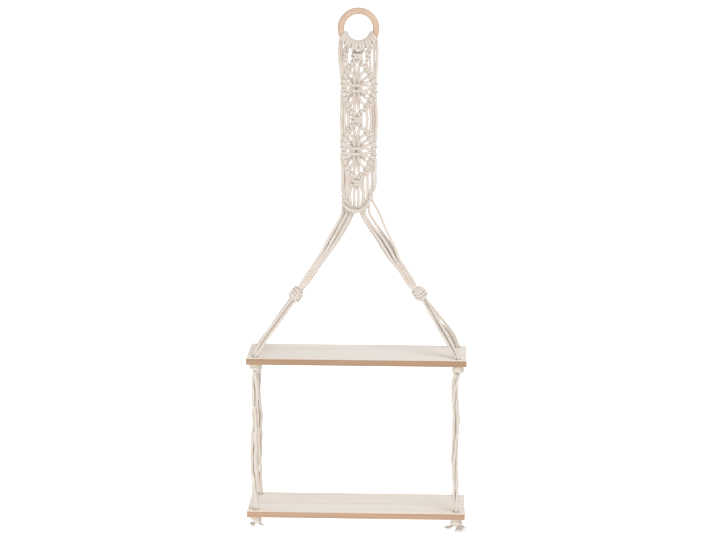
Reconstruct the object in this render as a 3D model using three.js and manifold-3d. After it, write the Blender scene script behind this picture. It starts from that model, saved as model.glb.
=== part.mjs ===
import * as THREE from "three";
import { mergeVertices } from "three/addons/utils/BufferGeometryUtils.js";
import Module from "manifold-3d";

const wasm = await Module();
wasm.setup();

// A hanging shelf: twelve cotton cords, looped on a wooden ring, are knotted into a band,
// part into two legs and carry two boards, one below the other.
// Millimetres, +Z up, +X right, -Y front. The origin is the top of the ring's hole,
// where a hook or a nail carries the shelf.

// Driving dimensions
const cordDiameter = 5;
const runningGap = 0.3; // between two pieces that touch
const ringOuterDiameter = 75;
const ringSection = 12;
const ringToKnots = 12; // from the ring's lowest point to the first row of knots
const topKnotRadius = 4.6;
const topKnotPitch = 21.5;
const topKnotLength = 12.5;
const outerCordX = 34.5; // the outermost cords pass the first knots and run down the band's sides
const borderRadius = 4.5; // a run of hitches round its leading cord
const cornerKnotRadius = 5.5;
const cornerKnotLength = 24;
const diamondHalfWidth = 29;
const diamondHeight = 95.5;
const centreKnotRadius = 5.2;
const centreKnotLength = 24;
const midKnotRadius = 4.5;
const lowKnotRadius = 5.5;
const gatherDrop = 49; // from the low knot to the gather knot
const gatherKnotRadius = 6.5;
const gatherKnotLength = 29;
const gatherHitchRise = 31; // the last hitches start this far above the gather knot
const gatherHitchHalfWidth = 26;
const sideKnotDrop = 156; // from the gather knot to the side knots
const sideKnotSpread = 114;
const sideKnotRadius = 12.5;
const stayDrop = 109; // from the side knots to the upper board's top
const stayBend = 9; // the stays turn upright this far above the board
const boardWidth = 400;
const boardDepth = 130;
const boardThickness = 12;
const boardEdgeBevel = 0.8;
const holeInsetX = 16;
const holeInsetY = 15;
const holeClearance = 0.9;
const shelfSpacing = 287; // from one board's top to the other's
const stopKnotRadius = 11;
const stopKnotLength = 13;
const tailLength = 14;
const tailSpread = 9;
const tailRootRadius = 1.5;
const middleCordReach = 24; // the middle cords reach this far in behind a diamond's border
const gatherLandingX = 9.7; // where each side's cords meet the gather knot
const wrapCordRises = [12, 2, 4, 24]; // above the gather knot's middle, from left to right
const legHandle = 39; // the legs run in to the side knots over this length
const mergeDistance = 0.001;

// Counts and shares
const headCount = 6;
const wrapArcShare = 0.43; // of the ring's whole turn, covered by cord
const cordPitchShare = 0.9; // neighbours in a bundle press into each other
const cordSides = 8;
const smallSides = 6;
const knotSides = 8;
const roundSides = 10;
const ringTurns = 36;
const finePivotSides = 24;
const holeSegments = 6;
const borderHitches = 5;
const gatherHitches = 4;
const knotTurns = 3;
const headSteps = [4, 2, 1, 1, 2, 4];
const curveSteps = 5;
const tailSteps = 2;
const handleShare = 1 / 3; // of a curve's length, from each end to its handle
const grooveShare = 0.8;
const longKnotEndShare = 0.55;
const fillerCount = 8;
const fillerSpreadShares = [0.86, 0.62, 0.38, 0.14];
const sideKnotLengthShare = 0.96;
// Along the knot and of its radius
const barKnotShares = [
  [0, 0.7],
  [0.12, 1],
  [0.88, 1],
  [1, 0.7],
];
// Of the knot's radius and of its length down from its top
const stopKnotShares = [
  [0, 1],
  [0.5, 1],
  [0.95, 0.75],
  [0.84, 0.5],
  [1, 0.25],
  [0.7, 0],
];

const cordRadius = cordDiameter / 2;
const cordPitch = cordDiameter * cordPitchShare;
const bundleRadius = cordPitch / Math.sqrt(3) + cordRadius;
const ringHoleRadius = ringOuterDiameter / 2 - ringSection;
const ringMiddleRadius = ringOuterDiameter / 2 - ringSection / 2;
const halfCordFlat = cordRadius * Math.cos(Math.PI / cordSides);

const cotton = new THREE.MeshStandardMaterial({ color: 0xe6dacd, roughness: 0.95, metalness: 0 });
const beech = new THREE.MeshStandardMaterial({ color: 0xe6c7a9, roughness: 0.55, metalness: 0 });
const boardWood = new THREE.MeshStandardMaterial({ color: 0xd8bd9f, roughness: 0.7, metalness: 0 });

const at = (x, y, z) => new THREE.Vector3(x, y, z);

function solidOf(geometry) {
  const bare = geometry.index ? geometry.toNonIndexed() : geometry.clone();
  bare.deleteAttribute("normal");
  bare.deleteAttribute("uv");
  const merged = mergeVertices(bare, mergeDistance);
  return new wasm.Manifold(
    new wasm.Mesh({
      numProp: 3,
      vertProperties: merged.attributes.position.array,
      triVerts: new Uint32Array(merged.index.array),
    }),
  );
}

function geometryOf(solid) {
  const { vertProperties, triVerts } = solid.getMesh();
  const geometry = new THREE.BufferGeometry();
  geometry.setAttribute("position", new THREE.BufferAttribute(new Float32Array(vertProperties), 3));
  geometry.setIndex(new THREE.BufferAttribute(new Uint32Array(triVerts), 1));
  geometry.computeVertexNormals();
  return geometry;
}

const joined = (geometries) => geometries.map(solidOf).reduce((whole, next) => whole.add(next));

function addPiece(group, name, shape, material = cotton) {
  const geometry = shape.isBufferGeometry ? shape : geometryOf(shape);
  const mesh = new THREE.Mesh(geometry, material);
  mesh.name = name;
  group.add(mesh);
  return mesh;
}

// Corners of a regular polygon, with flat sides facing along the axes.
function roundOutline(radius, sides) {
  const corners = [];
  for (let i = 0; i < sides; i++) {
    const angle = ((i + 0.5) / sides) * 2 * Math.PI;
    corners.push(new THREE.Vector2(radius * Math.cos(angle), radius * Math.sin(angle)));
  }
  return new THREE.Shape(corners);
}

// Parallel cords side by side along the outline's y, with a groove between each two.
function rowPoints(count) {
  const notch = Math.sqrt(cordRadius ** 2 - (cordPitch / 2) ** 2);
  const rightSide = [];
  for (let i = 0; i < count; i++) {
    const middle = (i - (count - 1) / 2) * cordPitch;
    for (let corner = 0; corner < cordSides; corner++) {
      const angle = ((corner + 0.5) / cordSides - 0.5) * Math.PI * 2;
      const isOuter = Math.cos(angle) > 0;
      const isEnd = Math.abs(Math.sin(angle)) > Math.cos(angle);
      const facesOut = (i === 0 && Math.sin(angle) < 0) || (i === count - 1 && Math.sin(angle) > 0);
      if (isOuter && (!isEnd || facesOut)) {
        rightSide.push(
          new THREE.Vector2(cordRadius * Math.cos(angle), middle + cordRadius * Math.sin(angle)),
        );
      }
    }
    if (i < count - 1) rightSide.push(new THREE.Vector2(notch, middle + cordPitch / 2));
  }
  const leftSide = rightSide.map((p) => new THREE.Vector2(-p.x, p.y)).reverse();
  return rightSide.concat(leftSide);
}
const cordRow = (count) => new THREE.Shape(rowPoints(count));

// Three cords in a triangle.
function bundleOutline() {
  const middleRadius = cordPitch / Math.sqrt(3);
  const notchRadius = middleRadius / 2 + Math.sqrt(cordRadius ** 2 - (cordPitch / 2) ** 2);
  const corners = [];
  for (let lobe = 0; lobe < 3; lobe++) {
    const facing = (lobe / 3) * 2 * Math.PI;
    for (let corner = 0; corner < cordSides / 2; corner++) {
      const angle = facing + ((corner + 0.5) / cordSides - 0.25) * 2 * Math.PI;
      corners.push(
        new THREE.Vector2(
          middleRadius * Math.cos(facing) + cordRadius * Math.cos(angle),
          middleRadius * Math.sin(facing) + cordRadius * Math.sin(angle),
        ),
      );
    }
    const between = facing + Math.PI / 3;
    corners.push(new THREE.Vector2(notchRadius * Math.cos(between), notchRadius * Math.sin(between)));
  }
  return new THREE.Shape(corners);
}

const sweep = (outline, path, steps) =>
  new THREE.ExtrudeGeometry(outline, { steps, bevelEnabled: false, extrudePath: path });

const straight = (outline, from, to) => sweep(outline, new THREE.LineCurve3(from, to), 1);

// A round bar that clears a round piece by the running gap, whichever way they are turned.
const clearanceBar = (radius, from, to, sides = cordSides) =>
  straight(roundOutline((radius + runningGap) / Math.cos(Math.PI / sides), sides), from, to);

// Turns a shape made along +Y from zero so that it runs from one point to another.
function laidBetween(geometry, from, to) {
  const direction = to.clone().sub(from).normalize();
  geometry.applyQuaternion(new THREE.Quaternion().setFromUnitVectors(at(0, 1, 0), direction));
  return geometry.translate(from.x, from.y, from.z);
}

// A run of hitches: one bead for each, with a groove between.
function hitchRun(from, to, radius, hitches) {
  const length = from.distanceTo(to);
  const profile = [new THREE.Vector2(0, 0)];
  for (let i = 0; i < hitches; i++) {
    profile.push(new THREE.Vector2(radius * grooveShare, (i / hitches) * length));
    profile.push(new THREE.Vector2(radius, ((i + 0.5) / hitches) * length));
  }
  profile.push(new THREE.Vector2(radius * grooveShare, length));
  profile.push(new THREE.Vector2(0, length));
  return laidBetween(new THREE.LatheGeometry(profile, smallSides), from, to);
}

// A wound knot: a barrel of cord turns round the line between two points, inside a ball where it is short.
function woundKnot(from, to, radius, turns, sides = roundSides) {
  const length = from.distanceTo(to);
  const endShare = length < 2 * radius ? Math.sqrt(1 - (length / (2 * radius)) ** 2) : longKnotEndShare;
  const swell = (along) => Math.sqrt(1 - (1 - endShare ** 2) * ((2 * along) / length - 1) ** 2);
  const profile = [new THREE.Vector2(0, 0)];
  for (let turn = 0; turn < turns; turn++) {
    const start = (turn / turns) * length;
    const crest = ((turn + 0.5) / turns) * length;
    profile.push(new THREE.Vector2(radius * swell(start) * grooveShare, start));
    profile.push(new THREE.Vector2(radius * swell(crest), crest));
  }
  profile.push(new THREE.Vector2(radius * endShare * grooveShare, length));
  profile.push(new THREE.Vector2(0, length));
  return laidBetween(new THREE.LatheGeometry(profile, sides), from, to);
}

// A square knot that turns on its own long axis, along X: straight turns and rounded ends.
function barKnot(middle, radius, length) {
  const profile = [new THREE.Vector2(0, 0)];
  for (const [alongShare, radiusShare] of barKnotShares) {
    profile.push(new THREE.Vector2(radius * radiusShare, length * alongShare));
  }
  profile.push(new THREE.Vector2(0, length));
  const half = at(length / 2, 0, 0);
  return laidBetween(
    new THREE.LatheGeometry(profile, roundSides),
    middle.clone().sub(half),
    middle.clone().add(half),
  );
}

// The ring and the six loops of cord on its lower arc
const ringZ = -ringHoleRadius;
const topKnotZ = -(ringOuterDiameter - ringSection) - ringToKnots;
const rowHalfWidth = (count) => ((count - 1) * cordPitch) / 2 + halfCordFlat;
const pairX = topKnotLength / 2;
const hangingXs = [-outerCordX, -topKnotPitch, -pairX, pairX, topKnotPitch, outerCordX];

function larksHead(index) {
  // The ring curves away under the loop, and its flats cut the corner a little more.
  const bowRadius = Math.sqrt(ringHoleRadius ** 2 - rowHalfWidth(2) ** 2) * Math.cos(Math.PI / ringTurns);
  const ringBow = ringHoleRadius - bowRadius;
  const innerRadius = (ringSection / 2 + ringBow + runningGap) / Math.cos(Math.PI / knotSides);
  const wrapRadius = innerRadius + halfCordFlat;
  const profile = rowPoints(2).map((p) => new THREE.Vector2(wrapRadius + p.x, p.y));
  profile.push(profile[0].clone());
  const wraps = new THREE.LatheGeometry(profile, knotSides);

  // The lathe's axis lies along the ring at the head's own angle from straight down.
  const angle = ((index + 0.5) / headCount - 0.5) * wrapArcShare * 2 * Math.PI;
  const outward = at(Math.sin(angle), 0, -Math.cos(angle));
  const along = at(Math.cos(angle), 0, Math.sin(angle));
  wraps.applyQuaternion(new THREE.Quaternion().setFromUnitVectors(at(0, 1, 0), along));
  const place = outward.clone().multiplyScalar(ringMiddleRadius);
  wraps.translate(place.x, place.y, place.z);

  // Both ends hang from the loop's outer side, straight into what they meet below.
  const isOutermost = index === 0 || index === headCount - 1;
  const endRadius = isOutermost ? cordRadius : topKnotRadius;
  const end = at(hangingXs[index], 0, topKnotZ - ringZ + endRadius + runningGap);
  const start = outward.clone().multiplyScalar(ringMiddleRadius + wrapRadius + cordRadius / 2);
  const handle = at(0, 0, (start.z - end.z) * handleShare);
  const path = new THREE.CubicBezierCurve3(start, start.clone().sub(handle), end.clone().add(handle), end);
  return joined([wraps, sweep(cordRow(2), path, headSteps[index])]);
}

const shelf = new THREE.Group();
const ringGroup = new THREE.Group();
ringGroup.position.z = ringZ;
shelf.add(ringGroup);

const ring = new THREE.TorusGeometry(ringMiddleRadius, ringSection / 2, knotSides, ringTurns);
addPiece(ringGroup, "hanging_ring", ring.rotateX(Math.PI / 2), beech);
for (let i = 0; i < headCount; i++) addPiece(ringGroup, `larks_head_${i + 1}`, larksHead(i));

// The knotted band, measured from the first row of knots
const band = new THREE.Group();
band.position.z = topKnotZ;
shelf.add(band);

const upperApexZ = -(topKnotRadius + runningGap + borderRadius);
const midKnotZ = upperApexZ - diamondHeight - (borderRadius + runningGap + midKnotRadius);
const lowerApexZ = midKnotZ - (midKnotRadius + runningGap + borderRadius);
const lowKnotZ = lowerApexZ - diamondHeight - (borderRadius + runningGap + lowKnotRadius);
const gatherZ = lowKnotZ - gatherDrop;

function diamondSide(apexZ, side) {
  const apex = at(0, 0, apexZ);
  const corner = at(side * diamondHalfWidth, 0, apexZ - diamondHeight / 2);
  const foot = at(0, 0, apexZ - diamondHeight);
  const half = at(0, 0, cornerKnotLength / 2);
  return { apex, corner, foot, knotTop: corner.clone().add(half), knotFoot: corner.clone().sub(half) };
}

function diamondBorder(apexZ, side) {
  const { apex, corner, foot, knotTop, knotFoot } = diamondSide(apexZ, side);
  return joined([
    hitchRun(apex, corner, borderRadius, borderHitches),
    hitchRun(corner, foot, borderRadius, borderHitches),
    woundKnot(knotFoot, knotTop, cornerKnotRadius, knotTurns, cordSides),
  ]);
}

// What has to stay clear of a diamond's border on one side
function borderSpace(apexZ, side) {
  const { apex, corner, foot, knotTop, knotFoot } = diamondSide(apexZ, side);
  const reach = at(0, 0, runningGap);
  return joined([
    clearanceBar(borderRadius, apex, corner),
    clearanceBar(borderRadius, corner, foot),
    clearanceBar(cornerKnotRadius, knotFoot.sub(reach), knotTop.add(reach)),
  ]);
}

const upperSpaces = [-1, 1].map((side) => borderSpace(upperApexZ, side));
const lowerSpaces = [-1, 1].map((side) => borderSpace(lowerApexZ, side));
const upperSpace = upperSpaces[0].add(upperSpaces[1]);
const lowerSpace = lowerSpaces[0].add(lowerSpaces[1]);

// The middle knot of a diamond, with the filler cords that fan out from it to the border above and below
function diamondCentre(apexZ, space) {
  const middleZ = apexZ - diamondHeight / 2;
  const pieces = [barKnot(at(0, 0, middleZ), centreKnotRadius, centreKnotLength)];
  for (const up of [-1, 1]) {
    for (let i = 0; i < fillerCount; i++) {
      const side = i < fillerCount / 2 ? -1 : 1;
      const share = fillerSpreadShares[i < fillerCount / 2 ? i : fillerCount - 1 - i];
      const rootX = ((i + 0.5) / fillerCount - 0.5) * (centreKnotLength - cordDiameter);
      const tip = at(side * diamondHalfWidth * share, 0, middleZ + (up * diamondHeight * (1 - share)) / 2);
      pieces.push(straight(roundOutline(cordRadius, smallSides), at(rootX, 0, middleZ), tip));
    }
  }
  const left = at(-diamondHalfWidth, 0, middleZ);
  const right = at(diamondHalfWidth, 0, middleZ);
  pieces.push(straight(roundOutline(cordRadius, smallSides), left, right));
  return joined(pieces).subtract(space);
}

// The first row of knots, each with the cords that hang from it to the border
const upperCornerZ = upperApexZ - diamondHeight / 2;
const lowerCornerZ = lowerApexZ - diamondHeight / 2;
const topKnots = [
  ["left", -topKnotPitch, 2, topKnotLength],
  ["centre", 0, 4, 2 * (pairX + rowHalfWidth(2))],
  ["right", topKnotPitch, 2, topKnotLength],
];
const startsAbove = (z) => (piece) => piece.boundingBox().max[2] > z;
for (const [name, x, cordCount, length] of topKnots) {
  const cords = solidOf(straight(cordRow(cordCount), at(x, 0, 0), at(x, 0, upperCornerZ)));
  const hanging = cords.subtract(upperSpace).decompose().find(startsAbove(upperApexZ));
  addPiece(band, `top_knot_${name}`, hanging.add(solidOf(barKnot(at(x, 0, 0), topKnotRadius, length))));
}

// The outermost cords run on from the ring to the corner knots, round where they bend with the band.
for (const [name, side] of [["left", -1], ["right", 1]]) {
  const top = at(side * outerCordX, 0, 0);
  const foot = at(side * (diamondHalfWidth + cordRadius / 2), 0, upperCornerZ);
  const cords = solidOf(straight(cordRow(2), top, foot)).subtract(upperSpace);
  const bend = solidOf(barKnot(top, cordRadius, 2 * rowHalfWidth(2)));
  addPiece(band, `upper_side_cords_${name}`, cords.decompose().find(startsAbove(upperApexZ)).add(bend));
}

const diamonds = [
  ["upper_diamond", upperApexZ, upperSpaces, upperSpace],
  ["lower_diamond", lowerApexZ, lowerSpaces, lowerSpace],
];
for (const [name, apexZ, spaces, space] of diamonds) {
  addPiece(band, `${name}_left_border`, diamondBorder(apexZ, -1).subtract(spaces[1]));
  addPiece(band, `${name}_right_border`, diamondBorder(apexZ, 1));
  addPiece(band, `${name}_centre_knot`, diamondCentre(apexZ, space));
}

// The knot between the diamonds, with its cords above and below
const middleKnotLength = 2 * rowHalfWidth(4);
const midCordTop = at(0, 0, midKnotZ + middleCordReach);
const midCords = straight(cordRow(4), midCordTop, at(0, 0, midKnotZ - middleCordReach));
const midHanging = solidOf(midCords).subtract(upperSpace.add(lowerSpace)).decompose();
const holdsHeight = (z) => (piece) => piece.boundingBox().min[2] < z && piece.boundingBox().max[2] > z;
addPiece(
  band,
  "mid_knot",
  midHanging
    .find(holdsHeight(midKnotZ))
    .add(solidOf(barKnot(at(0, 0, midKnotZ), midKnotRadius, middleKnotLength))),
);

// The long cords at the band's sides, from one diamond's corner to the next
const sideRowX = diamondHalfWidth - cordPitch / 2;
for (const [name, side] of [["left", -1], ["right", 1]]) {
  const top = at(side * sideRowX, 0, upperCornerZ);
  const foot = at(side * sideRowX, 0, lowerCornerZ);
  const cords = solidOf(straight(cordRow(3), top, foot)).subtract(upperSpace.add(lowerSpace));
  addPiece(band, `mid_side_cords_${name}`, cords.decompose().sort((a, b) => b.volume() - a.volume())[0]);
}

// The gather: hitches on both sides lead the cords in to one knot, bound by a curved cord in front
function gatherBar(z) {
  const end = at(boardWidth / 2, 0, z);
  return solidOf(clearanceBar(gatherKnotRadius, at(-boardWidth / 2, 0, z), end, finePivotSides));
}
const gatherSpace = gatherBar(gatherZ);
const hitchEnds = (side) => [
  at(side * gatherHitchHalfWidth, 0, gatherZ + gatherHitchRise),
  at(side * gatherLandingX, 0, gatherZ),
];
const gatherHitchSpace = (side) => solidOf(clearanceBar(borderRadius, ...hitchEnds(side)));
for (const [name, side] of [["left", -1], ["right", 1]]) {
  const hitches = solidOf(hitchRun(...hitchEnds(side), borderRadius, gatherHitches)).subtract(gatherSpace);
  addPiece(band, `gather_hitches_${name}`, hitches);
  const rowX = side * (diamondHalfWidth - cordPitch);
  const cords = solidOf(straight(cordRow(3), at(rowX, 0, lowerCornerZ), at(rowX, 0, gatherZ)));
  const parts = cords.subtract(lowerSpace.add(gatherHitchSpace(side)).add(gatherSpace)).decompose();
  addPiece(band, `low_side_cords_${name}`, parts.sort((a, b) => b.volume() - a.volume())[0]);
}

const lowCords = solidOf(straight(cordRow(4), at(0, 0, lowKnotZ + middleCordReach), at(0, 0, lowKnotZ)))
  .subtract(lowerSpace)
  .decompose()
  .find(holdsHeight(lowKnotZ + lowKnotRadius / 2));
const tieCords = solidOf(straight(cordRow(2), at(0, 0, lowKnotZ), at(0, 0, gatherZ)))
  .subtract(gatherSpace.add(gatherHitchSpace(-1)).add(gatherHitchSpace(1)))
  .decompose()
  .find(holdsHeight(lowKnotZ - lowKnotRadius));
addPiece(
  band,
  "low_knot",
  solidOf(barKnot(at(0, 0, lowKnotZ), lowKnotRadius, middleKnotLength)).add(lowCords).add(tieCords),
);
addPiece(band, "gather_knot", barKnot(at(0, 0, gatherZ), gatherKnotRadius, gatherKnotLength));

const wrapY = -(gatherKnotRadius + runningGap + cordRadius);
const wrapXs = [-gatherHitchHalfWidth, -gatherLandingX, gatherLandingX, gatherHitchHalfWidth];
const wrapPath = new THREE.CatmullRomCurve3(wrapXs.map((x, i) => at(x, wrapY, gatherZ + wrapCordRises[i])));
const wrapOutline = roundOutline(cordRadius, cordSides);
addPiece(band, "gather_wrap_cord", sweep(wrapOutline, wrapPath, curveSteps + 1));

// The legs: six cords each, in a front and a back row, from the gather knot to the side knots
const legs = new THREE.Group();
legs.position.z = gatherZ;
band.add(legs);

const rowY = halfCordFlat + runningGap / 2;
for (const [name, side] of [["left", -1], ["right", 1]]) {
  const knot = at(side * sideKnotSpread, 0, -sideKnotDrop);
  const start = at(side * gatherLandingX, 0, 0);
  const inward = start.clone().sub(knot).normalize();
  const end = knot.clone().add(inward.clone().multiplyScalar(sideKnotRadius + runningGap));
  const swing = at(side * cordDiameter, 0, 0);
  const path = new THREE.CubicBezierCurve3(
    start,
    start.clone().lerp(end, handleShare).add(swing),
    end.clone().add(inward.clone().multiplyScalar(legHandle)),
    end,
  );
  const trimmed = solidOf(sweep(cordRow(3), path, curveSteps)).subtract(gatherBar(0));
  for (const [rowName, rowSide] of [["front", -1], ["back", 1]]) {
    addPiece(legs, `leg_${name}_${rowName}`, trimmed.translate(0, rowSide * rowY, 0));
  }
  const half = inward.clone().multiplyScalar(sideKnotRadius * sideKnotLengthShare);
  addPiece(
    legs,
    `side_knot_${name}`,
    woundKnot(knot.clone().sub(half), knot.clone().add(half), sideKnotRadius, knotTurns),
  );
}

// The upper shelf, measured from the side knots: four stays, the board and the knots under it
const upperShelf = new THREE.Group();
upperShelf.position.z = -sideKnotDrop;
legs.add(upperShelf);

const holeRadius = bundleRadius + holeClearance;
const holeX = boardWidth / 2 - holeInsetX;
const holeY = boardDepth / 2 - holeInsetY;
const corners = [
  ["left_front", -1, -1],
  ["left_back", -1, 1],
  ["right_front", 1, -1],
  ["right_back", 1, 1],
];

function board() {
  const outline = new THREE.Shape();
  const halfWidth = boardWidth / 2 - boardEdgeBevel;
  const halfDepth = boardDepth / 2 - boardEdgeBevel;
  outline.moveTo(-halfWidth, -halfDepth);
  outline.lineTo(halfWidth, -halfDepth);
  outline.lineTo(halfWidth, halfDepth);
  outline.lineTo(-halfWidth, halfDepth);
  for (const [, sideX, sideY] of corners) {
    const hole = new THREE.Path();
    hole.absarc(sideX * holeX, sideY * holeY, holeRadius + boardEdgeBevel, 0, 2 * Math.PI, true);
    outline.holes.push(hole);
  }
  const slab = new THREE.ExtrudeGeometry(outline, {
    depth: boardThickness - 2 * boardEdgeBevel,
    curveSegments: holeSegments,
    bevelThickness: boardEdgeBevel,
    bevelSize: boardEdgeBevel,
    bevelSegments: 1,
  });
  return slab.translate(0, 0, boardEdgeBevel - boardThickness);
}

// A stop knot under a board, measured from the board's top, with the cords in the hole above it
function stopKnot() {
  const knotTop = -boardThickness - runningGap;
  const profile = stopKnotShares.map(
    ([radiusShare, downShare]) =>
      new THREE.Vector2(stopKnotRadius * radiusShare, knotTop - stopKnotLength * downShare),
  );
  profile.push(new THREE.Vector2(bundleRadius, knotTop));
  profile.push(new THREE.Vector2(bundleRadius, 0));
  profile.push(new THREE.Vector2(0, 0));
  return new THREE.LatheGeometry(profile, knotSides).rotateX(Math.PI / 2);
}

addPiece(upperShelf, "upper_board", board().translate(0, 0, -stayDrop), boardWood);
for (const [name, sideX, sideY] of corners) {
  const knot = at(sideX * sideKnotSpread, 0, 0);
  const hole = at(sideX * holeX, sideY * holeY, -stayDrop);
  const aboveHole = hole.clone().add(at(0, 0, stayBend));
  const outward = aboveHole.clone().sub(knot).normalize();
  const start = knot.clone().add(outward.clone().multiplyScalar(sideKnotRadius + runningGap));
  const path = new THREE.CubicBezierCurve3(
    start,
    start.clone().lerp(aboveHole, 0.5),
    aboveHole,
    hole.clone().add(at(0, 0, runningGap)),
  );
  addPiece(upperShelf, `stay_${name}`, sweep(bundleOutline(), path, curveSteps));
  const knotPlace = addPiece(upperShelf, `upper_stop_knot_${name}`, stopKnot());
  knotPlace.position.copy(hole);
}

// The drops: four bundles that swing together below the upper board, with a round end at each pivot
const dropTopZ = -stayDrop - boardThickness - runningGap - stopKnotLength - runningGap - bundleRadius;
const dropFootZ = -stayDrop - shelfSpacing + runningGap + bundleRadius;
const dropLength = dropTopZ - dropFootZ;

function dropCord(sideX, sideY) {
  const top = at(sideX * holeX, sideY * holeY, 0);
  const foot = at(sideX * holeX, sideY * holeY, -dropLength);
  const bow = at(sideX * -cordRadius, sideY * -cordRadius, 0);
  const path = new THREE.CubicBezierCurve3(
    top,
    top.clone().lerp(foot, handleShare).add(bow),
    foot.clone().lerp(top, handleShare).sub(bow),
    foot,
  );
  const ends = [top, foot].map((end) =>
    new THREE.SphereGeometry(bundleRadius, knotSides, knotSides / 2).translate(end.x, end.y, end.z),
  );
  return joined([sweep(bundleOutline(), path, curveSteps), ...ends]);
}

const frontDrops = new THREE.Group();
const backDrops = new THREE.Group();
for (const [name, sideX, sideY] of corners) {
  addPiece(sideY < 0 ? frontDrops : backDrops, `drop_cord_${name}`, dropCord(sideX, sideY));
}
for (const drops of [frontDrops, backDrops]) {
  drops.position.z = dropTopZ;
  upperShelf.add(drops);
}

// The lower shelf, measured from its board's top: the board, its stop knots and the cords' frayed ends
const lowerShelf = new THREE.Group();
lowerShelf.position.z = -dropLength - runningGap - bundleRadius;
frontDrops.add(lowerShelf);
addPiece(lowerShelf, "lower_board", board(), boardWood);

function tail() {
  const knotFoot = -boardThickness - runningGap - stopKnotLength;
  const cords = [0, 1, 2].map((i) => {
    const angle = (i / 3) * 2 * Math.PI;
    const lean = at(Math.cos(angle), Math.sin(angle), 0);
    const top = lean.clone().multiplyScalar(tailRootRadius).setZ(knotFoot - runningGap);
    const tip = lean.clone().multiplyScalar(tailSpread).setZ(knotFoot - tailLength);
    const bend = top.clone().add(at(0, 0, -tailLength * handleShare));
    const path = new THREE.QuadraticBezierCurve3(top, bend, tip);
    return sweep(roundOutline(cordRadius, smallSides), path, tailSteps);
  });
  return joined(cords);
}

for (const [name, sideX, sideY] of corners) {
  const place = at(sideX * holeX, sideY * holeY, 0);
  addPiece(lowerShelf, `lower_stop_knot_${name}`, stopKnot()).position.copy(place);
  addPiece(lowerShelf, `tail_${name}`, tail()).position.copy(place);
}

export default shelf;
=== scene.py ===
import math
import random
import bmesh
import bpy
import numpy as np
from mathutils import Matrix, Quaternion, Vector


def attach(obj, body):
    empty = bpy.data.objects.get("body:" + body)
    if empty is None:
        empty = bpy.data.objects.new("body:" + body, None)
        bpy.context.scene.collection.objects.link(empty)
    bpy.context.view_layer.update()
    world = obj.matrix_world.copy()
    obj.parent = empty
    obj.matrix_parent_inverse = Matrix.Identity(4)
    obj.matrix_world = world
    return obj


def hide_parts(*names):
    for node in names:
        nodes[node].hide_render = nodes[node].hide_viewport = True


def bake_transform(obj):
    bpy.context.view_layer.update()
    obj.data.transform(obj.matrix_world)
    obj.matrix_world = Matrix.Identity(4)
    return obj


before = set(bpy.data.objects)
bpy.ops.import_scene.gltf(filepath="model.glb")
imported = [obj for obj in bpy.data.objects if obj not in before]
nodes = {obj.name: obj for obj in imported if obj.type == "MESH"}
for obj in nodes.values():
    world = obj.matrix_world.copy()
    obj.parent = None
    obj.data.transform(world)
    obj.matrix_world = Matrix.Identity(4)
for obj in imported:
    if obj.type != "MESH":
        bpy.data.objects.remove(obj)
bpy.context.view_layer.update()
mm = 0.001  # lengths are in millimetres where nothing else is said
sides = (("left", -1), ("right", 1))
print("frame loaded:", len(nodes), "nodes")


def placed(name, data):
    item = bpy.data.objects.new(name, data)
    bpy.context.scene.collection.objects.link(item)
    return item


# ---- camera ----
camera = {
    "place": (0.1511, -4.165, 0.3214),  # metres
    "pitch": 10.688,  # degrees down
    "yaw": 2.07,  # degrees to the left
    "roll": 0.2,  # degrees
    "lens": 116.95,
    "sensor": 36,
}
cameraData = bpy.data.cameras.new("camera")
cameraData.lens = camera["lens"]
cameraData.sensor_width = camera["sensor"]
cameraObject = placed("camera", cameraData)
pitch, yaw = math.radians(camera["pitch"]), math.radians(camera["yaw"])
roll = Quaternion((0, 0, 1), math.radians(camera["roll"]))
forward = Vector((-math.sin(yaw) * math.cos(pitch), math.cos(yaw) * math.cos(pitch), -math.sin(pitch)))
cameraObject.location = camera["place"]
cameraObject.rotation_mode = "QUATERNION"
cameraObject.rotation_quaternion = forward.to_track_quat("-Z", "Y") @ roll
bpy.context.scene.camera = cameraObject


# ---- shader maths ----
class Link:
    def __init__(self, tree, socket=None):
        self.tree = tree
        self.socket = socket

    def node(self, kind, settings=None, inputs=None, output=0):
        made = self.tree.nodes.new(kind)
        for name, value in (settings or {}).items():
            setattr(made, name, value)
        for name, value in (inputs or {}).items():
            if isinstance(value, Link):
                self.tree.links.new(value.socket, made.inputs[name])
            else:
                made.inputs[name].default_value = value
        return Link(self.tree, made.outputs[output])

    def math(self, operation, first, second=0.0):
        return self.node("ShaderNodeMath", {"operation": operation}, {0: first, 1: second})

    def __add__(self, other):
        return self.math("ADD", self, other)

    def __sub__(self, other):
        return self.math("SUBTRACT", self, other)

    def __rsub__(self, other):
        return self.math("SUBTRACT", other, self)

    def __mul__(self, other):
        return self.math("MULTIPLY", self, other)

    def __pow__(self, other):
        return self.math("POWER", self, other)

    def clamped(self):
        return self.node("ShaderNodeClamp", inputs={0: self})

    def mixed(self, first, second):
        # this link is the share of the second colour; inputs 6 and 7 and output 2 are the node's colours
        return self.node("ShaderNodeMix", {"data_type": "RGBA"}, {0: self, 6: first, 7: second}, 2)


def tone(code):
    # linear colour of a six-digit hex code
    shares = [int(code[i:i + 2], 16) / 255 for i in (0, 2, 4)]
    return tuple(s / 12.92 if s <= 0.04045 else ((s + 0.055) / 1.055) ** 2.4 for s in shares) + (1.0,)


def grey(level):
    return (level, level, level, 1)


def newMaterial(name, roughness, sheen=0.0):
    material = bpy.data.materials.new(name)
    material.use_nodes = True
    shader = material.node_tree.nodes["Principled BSDF"]
    shader.inputs["Roughness"].default_value = roughness
    shader.inputs["Sheen Weight"].default_value = sheen
    shader.inputs["Sheen Roughness"].default_value = 0.5
    return material, shader, Link(material.node_tree)


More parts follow.
